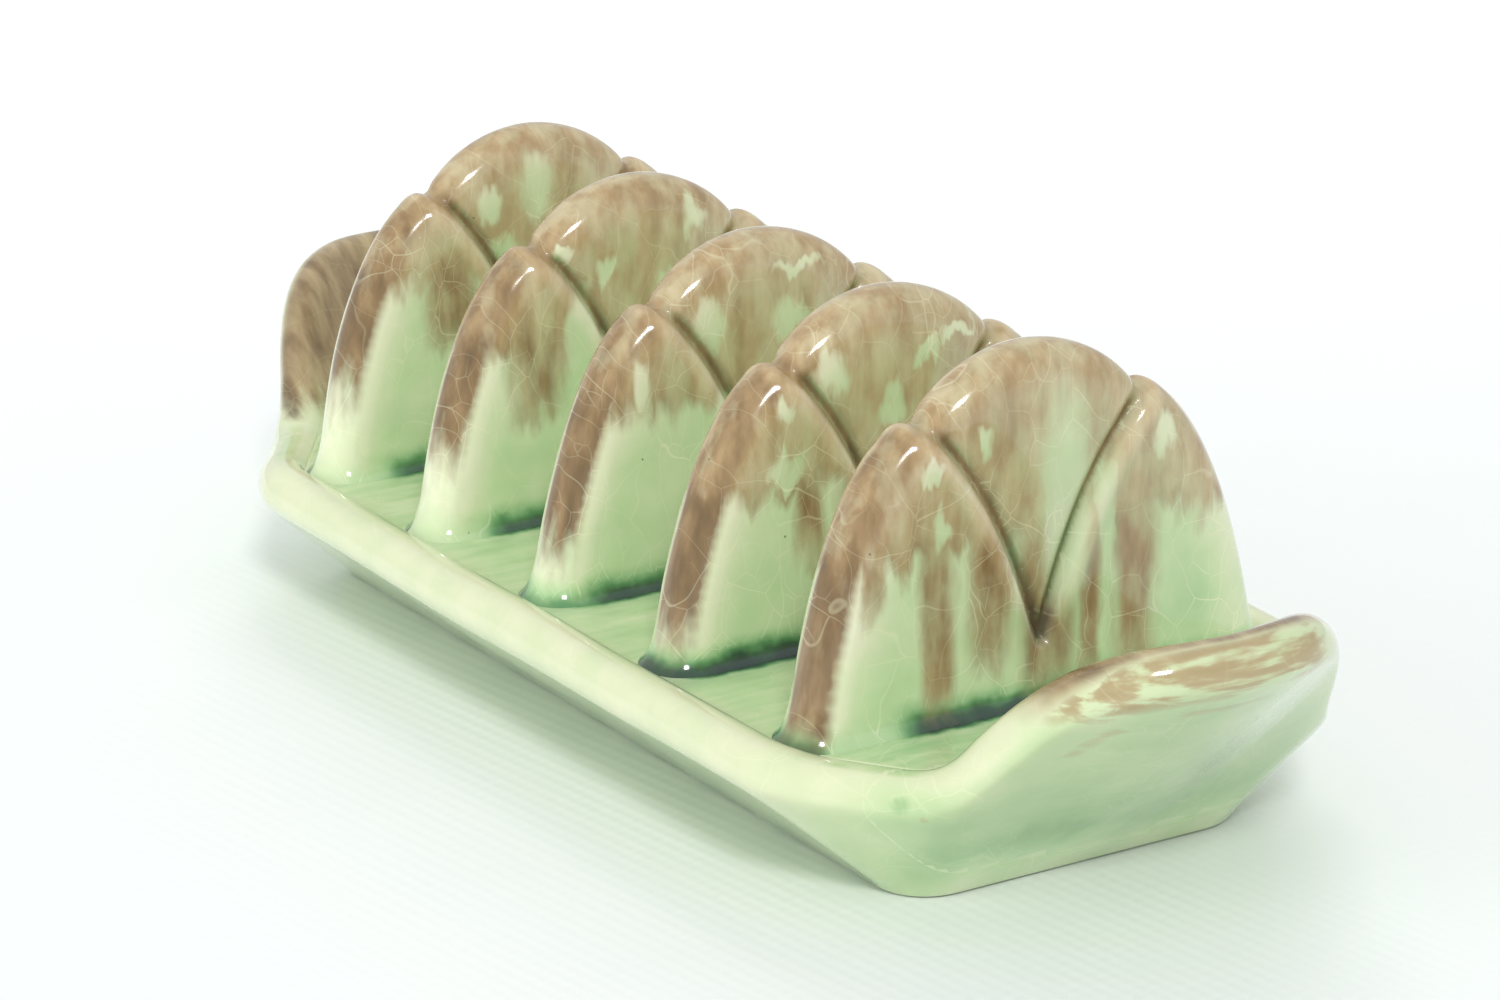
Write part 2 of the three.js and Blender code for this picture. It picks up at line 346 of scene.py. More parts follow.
whole = loft("whole_tray", loops)
finish_with(whole, "SUBSURF", levels=2, render_levels=2)
finish_with(whole, "SMOOTH", factor=0.5, iterations=3)
print("the tray's skin has", len(whole.data.polygons), "faces")

# %% Cut the grips off the tray
joint = (tray_high.x + grip_low.x) / 2


def cut_off(source, name, *planes):
    """A copy of the skin, cut by planes: each is (place along x, the side that is thrown away)."""
    start_clean()
    copy = source.copy()
    copy.data = source.data.copy()
    copy.name = copy.data.name = name
    bpy.context.scene.collection.objects.link(copy)
    bpy.context.view_layer.objects.active = copy
    bpy.ops.object.mode_set(mode="EDIT")
    for x, side in planes:
        bpy.ops.mesh.select_all(action="SELECT")
        bpy.ops.mesh.bisect(
            plane_co=(x, 0, 0), plane_no=(side, 0, 0), use_fill=True, clear_outer=True, threshold=1e-6
        )
    bpy.ops.object.mode_set(mode="OBJECT")
    return copy


tray = cut_off(whole, "glazed_tray", (joint, 1), (-joint, -1))
grips = {
    "grip_1": cut_off(whole, "glazed_grip_1", (-joint, 1)),
    "grip_2": cut_off(whole, "glazed_grip_2", (joint, -1)),
}
bpy.data.objects.remove(whole)
print("cut at", round(joint, 4))

# %% [markdown]
# ## The dividers
# Each divider is a slab whose whole edge is one half-round, with a tall petal between two leaves. The
# grooves were drawn into the soft clay with a blunt tool, and the leaf's edge beside a groove stands a
# little proud. So the slab is lofted, remeshed into even small faces, and then worked vertex by vertex
# as a modeller's tool does: grooves pushed in along the surface, and a foot flared out to the floor.

# %% Outline of a divider
THICKNESS = 7 * MM
PETAL_HEIGHT = 51 * MM
PETAL_FULLNESS = 3.1e4  # metres to the minus third
NOTCH = Vector((12.6 * MM, 45.1 * MM))
LEAF_FOOT = 27.2 * MM
LEAF_PULL = (Vector((15.4 * MM, 45.3 * MM)), Vector((23.6 * MM, 39.3 * MM)))
GROOVE_FOOT = Vector((0, 21.4 * MM))
GROOVE_PULL = (Vector((3.3 * MM, 32 * MM)), Vector((6.3 * MM, 38.7 * MM)))
BELOW_FLOOR = 1.5 * MM
EDGE_REACH = 3.7 * MM  # how far the rounded edge eats into the face
EDGE_BLUNTNESS = 0.9  # 1 is a true half-round; less makes its back flatter
EDGE_STEPS = 14


def bezier(points, t):
    a, b, c, d = points
    return a * (1 - t) ** 3 + b * 3 * t * (1 - t) ** 2 + c * 3 * t * t * (1 - t) + d * t**3


def half_outline():
    """From the middle of the top to below the floor, as (y, z)."""
    fall = PETAL_FULLNESS * NOTCH.x**4
    bow = (PETAL_HEIGHT - NOTCH.y - fall) / NOTCH.x**2
    points = []
    for i in range(24):
        y = i / 24 * NOTCH.x
        points.append(Vector((y, PETAL_HEIGHT - bow * y**2 - PETAL_FULLNESS * y**4)))
    leaf = (NOTCH, *LEAF_PULL, Vector((LEAF_FOOT, FLOOR)))
    points += [bezier(leaf, i / 40) for i in range(41)]
    points.append(Vector((LEAF_FOOT, FLOOR - BELOW_FLOOR)))
    return points


half = half_outline()
outline = half[::-1] + [Vector((-p.x, p.y)) for p in half[1:]]


def inset_outline(distance):
    """The outline moved inwards, each point square to its neighbours; its foot stays at its height."""
    moved = []
    for i, point in enumerate(outline):
        ahead, behind = outline[(i + 1) % len(outline)], outline[i - 1]
        along = (ahead - behind).normalized()
        at_foot = point.y < FLOOR
        new = point + Vector((-along.y, 0 if at_foot else along.x)) * distance
        moved.append(Vector((point.x - math.copysign(distance, point.x), point.y)) if at_foot else new)
    return moved


print("the outline has", len(outline), "points")

# %% One plain slab, remeshed
slab_rings = []
for step in range(EDGE_STEPS + 1):
    angle = step / EDGE_STEPS * math.pi
    ring = inset_outline(EDGE_REACH * (1 - math.sin(angle) ** EDGE_BLUNTNESS))
    bulge = -math.copysign(abs(math.cos(angle)) ** EDGE_BLUNTNESS, math.cos(angle)) * THICKNESS / 2
    slab_rings.append([Vector((bulge, p.x, p.y)) for p in ring])
slab = loft("slab", slab_rings)
finish_with(slab, "REMESH", mode="VOXEL", voxel_size=0.32 * MM)
finish_with(slab, "SMOOTH", factor=0.5, iterations=8)
print("a slab has", len(slab.data.polygons), "faces")

# %% Grooves and foot
GROOVE_DEPTH = 0.85 * MM
PETAL_DISH = 0.55 * MM  # the petal sinks a little towards the leaf in front of it
LEAF_BEAD = 0.3 * MM  # the leaf's edge stands proud beside the groove
FOOT_REACH = 1.5 * MM  # clay and glaze that fill the corner at the foot
FACE_FOOT = 2.0 * MM  # height of that filling on the faces
END_FOOT = 4.5 * MM  # and at the two ends, where it runs out on the rim
groove_points = [bezier((GROOVE_FOOT, *GROOVE_PULL, NOTCH), i / 80) for i in range(81)]
groove_line = np.array([(p.x, p.y) for p in groove_points])
groove_way = np.gradient(groove_line, axis=0)
groove_way /= np.linalg.norm(groove_way, axis=1)[:, None]
outline_line = np.array([(p.x, p.y) for p in outline if p.y >= FLOOR])


def from_groove(places):
    """Distance of each vertex to the nearer groove, seen square to the face: plus on the leaf's side."""
    flat = np.stack([np.abs(places[:, 1]), places[:, 2]], axis=1)
    apart = flat[:, None, :] - groove_line[None, :, :]
    far = np.linalg.norm(apart, axis=2)
    near = far.argmin(axis=1)
    rows = np.arange(len(flat))
    side = groove_way[near, 0] * apart[rows, near, 1] - groove_way[near, 1] * apart[rows, near, 0]
    return np.where(side < 0, far[rows, near], -far[rows, near])


def from_outline(places):
    """Distance of each vertex to the divider's outline, seen square to the face."""
    apart = places[:, None, 1:] - outline_line[None, :, :]
    return np.linalg.norm(apart, axis=2).min(axis=1)


def bell(distance, width):
    return np.exp(-((distance / width) ** 2))


def groove_depth(distance, height, inset):
    """How deep the surface is pushed in. The tool was lifted out over the edge, and the leaf's proud
    edge dies away where the two leaves cross."""
    edge = 0.4 + 0.6 * smooth_step(inset, 0.5 * MM, 3 * MM)
    crossing = smooth_step(height, 22 * MM, 27 * MM)
    petal = GROOVE_DEPTH * bell(distance, 0.75 * MM) + PETAL_DISH * bell(distance, 3.2 * MM)
    leaf = (GROOVE_DEPTH + PETAL_DISH) * bell(distance, 0.7 * MM)
    leaf -= LEAF_BEAD * crossing * bell(distance - 1.9 * MM, 1.3 * MM)
    return np.where(distance < 0, petal, leaf) * edge


def flare(places, normals):
    """Pushes the foot outwards, in a hollow quarter-round that runs out on the floor."""
    end = smooth_step(np.abs(places[:, 1]), LEAF_FOOT - 5 * MM, LEAF_FOOT - 1 * MM)
    tall = FACE_FOOT + (END_FOOT - FACE_FOOT) * end
    share = np.clip((places[:, 2] - FLOOR) / tall, 0, 1)
    reach = FOOT_REACH * (1 - np.sqrt(1 - (1 - share) ** 2))
    flat = normals.copy()
    flat[:, 2] = 0
    length = np.linalg.norm(flat, axis=1)
    sure = length > 0.3
    flat[sure] /= length[sure][:, None]
    flat[~sure] = 0
    return places + flat * reach[:, None]


places, normals = corners_of(slab)
distance, inset = from_groove(places), from_outline(places)
places = places - normals * groove_depth(distance, places[:, 2], inset)[:, None]
places = flare(places, normals)
move_corners(slab, places)
finish_with(slab, "SMOOTH", factor=0.5, iterations=3)
paint(slab, "from_groove", distance / MM)
paint(slab, "from_outline", inset / MM)
print("grooves are", GROOVE_DEPTH + PETAL_DISH, "deep")

# %% Set the five dividers
def set_divider(name):
    """A copy of the worked slab at its own place; its own lift is taken up above the foot."""
    start_clean()
    low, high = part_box(name)
    piece = slab.copy()
    piece.data = slab.data.copy()
    piece.name = piece.data.name = "glazed_" + name
    bpy.context.scene.collection.objects.link(piece)
    places, _ = corners_of(piece)
    lift = high.z - PETAL_HEIGHT
    places[:, 2] += lift * smooth_step(places[:, 2], FLOOR + 4 * MM, FLOOR + 14 * MM)
    places[:, 0] += (low.x + high.x) / 2
    move_corners(piece, places)
    return piece


standing = {name: set_divider(name) for name in DIVIDERS}
bpy.data.objects.remove(slab)
print("set", sorted(standing))

# %% [markdown]
# ## The maker's hand
# Nothing pressed by hand is quite true. One slow wobble, the same for all pieces at the same place, so
# that they still meet, bends the lines by a fraction of a millimetre.

# %% Hand wobble and finish of the meshes
WOBBLE = 0.22 * MM
WOBBLE_SCALE = 42  # waves in a metre
SHARP_ANGLE = 50  # degrees; edges bent more than this stay sharp


def wobble(piece):
    places, _ = corners_of(piece)
    push = np.array([noise.noise_vector(Vector(p) * WOBBLE_SCALE)[:] for p in places])
    hold = smooth_step(places[:, 2], 1 * MM, 9 * MM)
    places += push * (WOBBLE * hold)[:, None]
    move_corners(piece, places)


pieces = {"tray": tray, **grips, **standing}
for node, piece in pieces.items():
    wobble(piece)
    start_clean()
    piece.select_set(True)
    bpy.context.view_layer.objects.active = piece
    bpy.ops.object.shade_smooth_by_angle(angle=math.radians(SHARP_ANGLE))
    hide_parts(node)
    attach(piece, "root")
print("finished", len(pieces), "pieces")

# %% [markdown]
# ## Marks that the glaze follows
# Glaze runs thin over sharp edges, where the cream clay shows, and gathers in hollows, where it is
# dark. To know where that is, each vertex of the tray keeps its distance to the line of the rim and
# how far it faces outwards and up. The dividers already keep theirs to the grooves and the outline.

# %% Paint the distance to the rim
AT_ONCE = 2000  # corners measured together, to save memory
crest_line = []
for i in range(len(stations)):
    here, there = place(stations[i]), place(stations[(i + 1) % len(stations)])
    crest_line += [here.lerp(there, k / 4)[:] for k in range(4)]
crest_line = np.array(crest_line)


def paint_rim(piece):
    places, normals = corners_of(piece)
    apart = []
    for i in range(0, len(places), AT_ONCE):
        gap = places[i : i + AT_ONCE, None, :] - crest_line[None]
        apart.append(np.linalg.norm(gap, axis=2).min(axis=1))
    paint(piece, "from_crest", np.concatenate(apart) / MM)
    lean = smooth_step(np.abs(places[:, 0]), 56 * MM, 72 * MM)
    out = normals[:, 0] * np.sign(places[:, 0]) * lean + normals[:, 1] * np.sign(places[:, 1]) * (1 - lean)
    paint(piece, "facing_out", out)
    paint(piece, "facing_up", normals[:, 2])


for piece in (tray, *grips.values()):
    paint_rim(piece)
print("painted", 1 + len(grips), "pieces")

# %% [markdown]
# ## Glaze as sums
# A glaze is a sum of simple fields: how thick it lies, where the tan coat ran, where it crazed. Written
# as plain sums they stay readable, so one small class wraps a socket and adds a Math node for each
# operator, and one method makes every other node.

# %% A value on its way through a material
class Field:
    """A socket that sums can be written with."""

    def __init__(self, glaze, socket):
        self.glaze, self.socket = glaze, socket

    def maths(self, operation, *values):
        return self.glaze.add("ShaderNodeMath", {"operation": operation}, dict(enumerate(values)))

    def __add__(self, other):
        return self.maths("ADD", self, other)

    __radd__ = __add__

    def __sub__(self, other):
        return self.maths("SUBTRACT", self, other)

    def __rsub__(self, other):
        return self.maths("SUBTRACT", other, self)

    def __mul__(self, other):
        return self.maths("MULTIPLY", self, other)

    __rmul__ = __mul__

    def __truediv__(self, other):
        return self.maths("DIVIDE", self, other)

    def __abs__(self):
        return self.maths("ABSOLUTE", self)

    def sign(self):
        return self.maths("SIGN", self)

    def root(self):
        return self.maths("SQRT", self)

    def sine(self):
        return self.maths("SINE", self)

    def most(self, other):
        return self.maths("MAXIMUM", self, other)

    def least(self, other):
        return self.maths("MINIMUM", self, other)

    def rises(self, low, high):
        """0 below low, 1 above high, smooth between."""
        settings = {"interpolation_type": "SMOOTHSTEP"}
        return self.glaze.add("ShaderNodeMapRange", settings, {0: self, 1: low, 2: high, 3: 0.0, 4: 1.0})

    def falls(self, low, high):
        settings = {"interpolation_type": "SMOOTHSTEP"}
        return self.glaze.add("ShaderNodeMapRange", settings, {0: self, 1: low, 2: high, 3: 1.0, 4: 0.0})

    def hump(self, middle, width):
        """1 at the middle and 0 a width away on both sides."""
        return abs(self - middle).falls(0.0, width)


class Glaze:
    """One material and its nodes, with places in millimetres."""

    def __init__(self, name):
        self.material = bpy.data.materials.new(name)
        self.material.use_nodes = True
        self.tree = self.material.node_tree
        self.tree.nodes.clear()
        coordinates = self.add("ShaderNodeTexCoord", {}, {}, "Object")
        self.place = self.add("ShaderNodeVectorMath", {"operation": "SCALE"}, {0: coordinates, "Scale": 1000})
        self.x, self.y, self.z = (self.add("ShaderNodeSeparateXYZ", {}, {0: self.place}, i) for i in range(3))

    def add(self, kind, settings, values, output=0):
        node = self.tree.nodes.new(kind)
        for key, value in settings.items():
            if key == "stops":
                stops = node.color_ramp.elements
                for spot, colour in value[2:]:
                    stops.new(spot)
                for stop, (spot, colour) in zip(stops, sorted(value)):
                    stop.position, stop.color = spot, (*colour, 1)
            elif key == "knots":
                line = node.mapping.curves[0]
                for spot in value[2:]:
                    line.points.new(*spot)
                for point, spot in zip(line.points, sorted(value)):
                    point.location, point.handle_type = spot, "AUTO_CLAMPED"
                node.mapping.update()
            else:
                setattr(node, key, value)
        for key, value in values.items():
            if isinstance(value, Field):
                self.tree.links.new(value.socket, node.inputs[key])
            else:
                node.inputs[key].default_value = value
        return Field(self, node.outputs[output])

    def layer(self, name):
        return self.add("ShaderNodeAttribute", {"attribute_name": name}, {}, "Fac")

    def stretched(self, x, y, z):
        """The place, with patterns drawn out where a number is small."""
        return self.add("ShaderNodeVectorMath", {"operation": "MULTIPLY"}, {0: self.place, 1: (x, y, z)})

    def cloud(self, size, detail=2.0, where=None, output=0):
        """Noise with lumps of about this many millimetres, from 0 to 1 about a half."""
        values = {"Vector": where or self.place, "Scale": 1 / size, "Detail": detail}
        return self.add("ShaderNodeTexNoise", {}, values, output)

    def ramp(self, value, stops):
        return self.add("ShaderNodeValToRGB", {"stops": stops}, {0: value})

    def blend(self, share, first, second, kind="MIX"):
        """Two colours mixed."""
        settings = {"data_type": "RGBA", "blend_type": kind}
        first, second = ((*c, 1) if isinstance(c, tuple) else c for c in (first, second))
        return self.add("ShaderNodeMix", settings, {0: share, 6: first, 7: second}, 2)

    def along(self, value, knots, low, high, top):
        """A curve through a few knots (place, value), read at a value between low and high."""
        knots = sorted([((p - low) / (high - low), v / top) for p, v in knots])
        knots = [(0.0, knots[0][1])] + [k for k in knots if 0 < k[0] < 1] + [(1.0, knots[-1][1])]
        knots = [knots[0], knots[-1]] + knots[1:-1]
        share = (value - low) / (high - low)
        return self.add("ShaderNodeFloatCurve", {"knots": knots}, {"Factor": 1.0, "Value": share}) * top

    def spot(self, place, size):
        """1 at a place and 0 a size away from it."""
        ends = {0: self.place, 1: place}
        apart = self.add("ShaderNodeVectorMath", {"operation": "DISTANCE"}, ends, "Value")
        return apart.falls(size * 0.3, size)

    def close(self, shader):
        """Ends the material: the shader is its surface."""
        out = self.tree.nodes.new("ShaderNodeOutputMaterial")
        self.tree.links.new(shader.socket, out.inputs["Surface"])


print("glaze maths ready")

# %% [markdown]
# ## Clear green glaze over cream clay
# The colour only comes from depth: thin glaze is cream, a normal coat is mint, and a pool in a corner
# is emerald and then nearly black. One ramp from thin to deep serves every piece. On top come the tan
# coat, the fine net of crazing that old earthenware has, pinholes and a few rust spots.

# %% Colours of the glaze by its depth
DEPTHS = [
    (0.0, (0.83, 0.81, 0.63)),
    (1.0, (0.018, 0.038, 0.036)),
    (0.22, (0.745, 0.79, 0.54)),
    (0.42, (0.53, 0.69, 0.385)),
    (0.58, (0.34, 0.55, 0.27)),
    (0.74, (0.11, 0.28, 0.11)),
    (0.88, (0.035, 0.095, 0.048)),
]
TANS = [
    (0.0, (0.56, 0.42, 0.235)),
    (1.0, (0.09, 0.055, 0.024)),
    (0.35, (0.385, 0.262, 0.128)),
    (0.65, (0.225, 0.14, 0.06)),
]
CRAZE = (0.86, 0.86, 0.6)
RUST = (0.42, 0.2, 0.04)
PINHOLE = (0.1, 0.07, 0.03)
CRAZE_CELL = 4.6  # millimetres across a cell of the coarse net
FINE_CELL = 2.4
CRAZE_BEND = 2.4  # how far noise pushes the nets about


def finish_glaze(glaze, depth, tan, tan_depth, craze_way, crazed, dull):
    """From the fields to a glossy surface: depth of the green, share of tan, depth of the tan, how far
    the crazing is drawn out each way, how much of it shows, and where the glaze is dull."""
    green = glaze.ramp(depth, DEPTHS)
    colour = glaze.blend(tan, green, glaze.ramp(tan_depth, TANS))

    # Crazing: two nets of cell walls, bent by noise and fading in and out.
    push = {0: glaze.cloud(6, 1, output=1), "Scale": CRAZE_BEND}
    bend = glaze.add("ShaderNodeVectorMath", {"operation": "SCALE"}, push)
    bent = glaze.add("ShaderNodeVectorMath", {}, {0: glaze.stretched(*craze_way), 1: bend})
    net = {"feature": "DISTANCE_TO_EDGE"}
    cells = {"Vector": bent, "Randomness": 1.0}
    wide = glaze.add("ShaderNodeTexVoronoi", net, cells | {"Scale": 1 / CRAZE_CELL})
    fine = glaze.add("ShaderNodeTexVoronoi", net, cells | {"Scale": 1 / FINE_CELL})
    fade = glaze.cloud(9, 1).rises(0.4, 0.62)
    cracks = wide.falls(0.002, 0.013).most(fine.falls(0.002, 0.02) * fade * 0.7)
    shown = cracks * (0.2 + 0.3 * fade) * depth.falls(0.55, 0.7) * (1 - tan * 0.5) * crazed
    colour = glaze.blend(shown, colour, CRAZE)

    # Pinholes and rust: a dot in some of the cells only.
    def dots(spacing, size, share):
        cell = {"Scale": 1 / spacing, "Randomness": 1.0, "Vector": glaze.place}
        distance = glaze.add("ShaderNodeTexVoronoi", {}, cell)
        chance = glaze.add("ShaderNodeSeparateColor", {}, {0: glaze.add("ShaderNodeTexVoronoi", {}, cell, 1)})
        return distance.falls(size / spacing * 0.5, size / spacing) * chance.falls(share, share + 0.02)

    pinholes = dots(spacing=3.1, size=0.17, share=0.2)
    rust = dots(spacing=11, size=0.42, share=0.22)
    colour = glaze.blend(rust * 0.55, colour, RUST)
    colour = glaze.blend(pinholes * 0.75, colour, PINHOLE)

    waves = glaze.cloud(5.5, 2) + glaze.cloud(1.4, 1) * 0.1
    bump = glaze.add("ShaderNodeBump", {}, {"Strength": 0.4, "Distance": 0.0003, "Height": waves})
    sheen = 0.1 + glaze.cloud(12, 2) * 0.06 + tan * 0.03 + pinholes * 0.3 + dull * 0.5
    skin = {"Base Color": colour, "Roughness": sheen, "Normal": bump, "IOR": 1.5}
    skin |= {"Coat Weight": 0.6 * (1 - dull), "Coat Roughness": 0.05, "Coat IOR": 1.5}
    glaze.close(glaze.add("ShaderNodeBsdfPrincipled", {}, skin))
    return glaze.material


print("depths of glaze:", len(DEPTHS))

# %% [markdown]
# ## The tan coat on the dividers
# The tan glaze was dabbed over the top of each divider and ran in the kiln, so no two are alike. Each
# coat is written down as a potter would describe it: the height where it ends, the drips that ran
# further, the bare patches that the sponge missed, and how far it ran down the rounded edge.

# %% How each divider was sponged
# Millimetres on the face: drips are (place, half width, lowest point), bare patches (place, height,
# half width, half height). Pools: how much glaze lies at the near toe, beside it, and along the foot.
COATS = {
    "divider_1": dict(
        ends=(36.5, 33), edge_ends=24, pool=(0.36, 0.46, 0.9), pool_starts=-22,
        drips=[(-15.2, 1.0, 34), (-11.5, 2.6, 27), (-6, 1.5, 31), (3, 2, 28), (10, 2.4, 27), (17, 1.5, 31)],
        bare=[(-0.5, 45.3, 1.7, 3.2), (-6.6, 44, 1.2, 2), (7, 40, 2, 3), (-4.5, 38, 1.2, 2)],
    ),
    "divider_2": dict(
        ends=(34.5, 32), edge_ends=23, pool=(0.38, 0.42, 0.9), pool_starts=-23,
        drips=[(-14.2, 2.3, 25), (-11.6, 1.2, 29), (-1, 2.5, 27), (8, 2, 26), (16, 1.6, 29)],
        bare=[(-8.3, 36, 1.7, 3.4), (-5.2, 42, 1, 1.5), (6, 46, 1.2, 1.5), (3, 38, 2, 2), (-10, 44, 1, 0.8)],
    ),
    "divider_3": dict(
        ends=(34.8, 32), edge_ends=20, pool=(0.72, 0.74, 0.95), pool_starts=-25,
        drips=[(-22.8, 1.2, 33), (-18.4, 1.4, 32.4), (-13, 1.7, 32.6), (-8.5, 2, 33.2), (3, 2.4, 28),
               (9, 1.6, 24), (17, 2, 29)],
        bare=[(-16, 37, 0.8, 2), (-7.5, 42.3, 1.6, 2.2), (2.5, 41.5, 1.8, 1.6), (3.4, 47, 2.6, 0.8)],
    ),
    "divider_4": dict(
        ends=(31, 32), edge_ends=17, pool=(0.95, 0.93, 1.0), pool_starts=-26,
        drips=[(-11, 1.3, 22.5), (-16, 1.3, 30), (-5, 2, 24), (4, 1.6, 20), (10, 2, 19), (17, 1.5, 27)],
        bare=[(-13.8, 34.3, 1.6, 1.2), (-7.8, 43, 1.5, 2), (-1, 38.5, 1.3, 1.6), (3, 44, 1.2, 0.9),
              (7, 45.5, 2, 0.6), (-14, 40, 0.8, 1.4)],
    ),
    "divider_5": dict(
        ends=(31.5, 31), edge_ends=12, pool=(0.85, 0.5, 0.98), pool_starts=-18,
        drips=[(-20, 1.0, 26), (-12.5, 1.5, 14), (-6.3, 1.9, 18), (0.5, 2.5, 14), (5.5, 1.0, 15),
               (10.8, 1.9, 14), (18.5, 1.3, 29.5)],
        bare=[(-11.8, 34.8, 0.9, 1.6), (-13, 40.3, 1.2, 0.8), (2.8, 35.5, 2.9, 9), (-6.5, 43, 0.7, 1.4),
              (7.6, 33.5, 0.9, 4), (14.5, 40, 1.1, 1.4)],
    ),
}
print("coats for", sorted(COATS))


# %% Pools at the foot
def pool_strength(glaze, y, coat):
    """How deep the glaze lies along a divider's foot, from its toe at -Y to its far end."""
    toe, beside, along = coat["pool"]
    starts = coat["pool_starts"]
    knots = [(-30, toe), (-27, toe), (-24.5, beside), (starts - 2, beside), (starts + 5, along),
             (22, along), (30, along * 0.8)]
    return glaze.along(y, knots, -30, 30, 1.0)


# %% Glaze of one divider
def divider_glaze(name):
    coat = COATS[name]
    low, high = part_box(name)
    glaze = Glaze("glaze_" + name)
    x, z = glaze.x - (low.x + high.x) / 2 / MM, glaze.z
    # The far face has the same coat the other way round.
    y = glaze.y * (x + 1.2).sign()
    groove, inset = glaze.layer("from_groove"), glaze.layer("from_outline")

    # Ragged edges: the place is shaken before the coat is read.
    runs = glaze.stretched(1, 1, 0.35)
    shaken_y = y + (glaze.cloud(2.6, 3, runs) - 0.5) * 2.8
    shaken_z = z + (glaze.cloud(1.6, 2, runs) - 0.5) * 6.5
    left, right = coat["ends"]
    level = left + (right - left) * (y + 27) / 54
    above = shaken_z - level
    tan = above.rises(-1.5, 2.1)
    for middle, half, lowest in coat["drips"]:
        side = (abs(shaken_y - middle) / half).falls(0.5, 1.9)
        run = side * shaken_z.rises(lowest - 0.5, lowest + 3.0)
        tan = tan.most(run * z.rises(lowest - 3, lowest + 6.0).most(0.7))
    bare = None
    for place_y, place_z, half_width, half_height in coat["bare"]:
        across, tall = (shaken_y - place_y) / half_width, (shaken_z - place_z) / half_height
        ring = across * across + tall * tall
        bare = ring if bare is None else bare.least(ring)
    tan = tan * (0.12 + 0.88 * bare.rises(0.2, 2.4))
    # Down the rounded edge at -Y the coat ran in one strip; its extra share of tan and its darker tan are
    # painted shade on that edge.
    edge_strip_and_shade = x.rises(-1.6, -0.4) * inset.falls(1.3, 2.9) * glaze.y.falls(-14.0, -12.0)
    ragged = z + (glaze.cloud(1.6, 2, runs) - 0.5) * 8
    tan = tan.most(edge_strip_and_shade * ragged.rises(coat["edge_ends"] - 4.0, coat["edge_ends"] + 6.0))
    sponge = glaze.cloud(2.6, 3, glaze.stretched(1, 1, 0.5))
    streaks = glaze.cloud(1.6, 3, glaze.stretched(1, 1, 0.18))
    # The strip's extra share of tan is painted shade on the -Y edge.
    solid = inset.falls(1.5, 5.0) * 0.14 + edge_strip_and_shade * 0.1
    share = tan * (0.6 + 0.26 * sponge.rises(0.32, 0.64) + solid + above.falls(-1.0, 3.0) * 0.12)

    # Pools where the foot meets the floor, and lighter glaze on the leaf's proud bead and along the face's
    # turn into the -Y edge: partly thin glaze there, partly a painted highlight.
    middle = inset.rises(2.6, 7.5)
    depth = 0.21 + middle * 0.14 + glaze.y.rises(-20.0, 14.0) * 0.06
    depth = depth + (glaze.cloud(7, 3) - 0.5) * 0.32 + z.falls(18.0, 36.0) * 0.04
    # Painted highlight, partly thin glaze: lighter along the leaf's proud bead.
    thin_ridge_and_highlight = groove.hump(1.7, 1.5) * z.rises(23.0, 27.0)
    # Painted highlight, partly thin glaze: lighter where the face turns into the edge, on the -Y half only.
    depth = depth - thin_ridge_and_highlight * 0.14 - inset.hump(3.1, 1.4) * 0.08 * glaze.y.falls(-8.0, 4.0)
    foot = z + (glaze.cloud(2.5, 2) - 0.5) * 1.6
    pool = foot.falls(14.8, 18.4)
    deep = pool_strength(glaze, y, coat)
    depth = depth + pool * (deep - depth)
    line = groove.hump(-0.15, 1.15) * (0.4 + 0.6 * inset.rises(0.2, 2.5))
    crossing = groove.hump(0.0, 1.6) * z.falls(22.5, 25.0) * z.rises(19.5, 21.5)
    depth = depth.most(line * 0.72).most(crossing * 0.9)

    share = share * (1 - pool * deep.rises(0.6, 0.9) * 0.75)
    share = share.most(line * (0.5 + 0.45 * tan))
    tan_depth = 0.22 + (streaks - 0.45) * 0.75 + (sponge - 0.5) * 0.3 + above.falls(0.0, 4.0) * 0.2
    # Darker tan on the -Y edge strip is painted shade; lighter tan on the bead is a painted highlight, partly
    # thin glaze.
    tan_depth = tan_depth + line * 0.4 + crossing * 0.4 + edge_strip_and_shade * 0.22 - thin_ridge_and_highlight * 0.25
    dull = line.most(crossing)
    return finish_glaze(glaze, depth, share, tan_depth, (0.05, 1, 0.62), 1.0, dull)


glazes = {name: divider_glaze(name) for name in DIVIDERS}
print("glazed", len(glazes), "dividers")


# %% [markdown]
# ## Glaze of the tray and the grips
# The tray and grips were dipped as one, so they share one glaze: cream on the rim, mint on the floor
# with deep lines at the feet of the dividers, and darker and greener towards the bottom of the wall,
# partly glaze that ran and partly painted shade. Tan was dabbed on the inside and over the lip of each
# grip, and it streaks along the lip.

# %% Glaze of the body
FOOT_HALF_MM = LEAF_FOOT / MM - 3.5


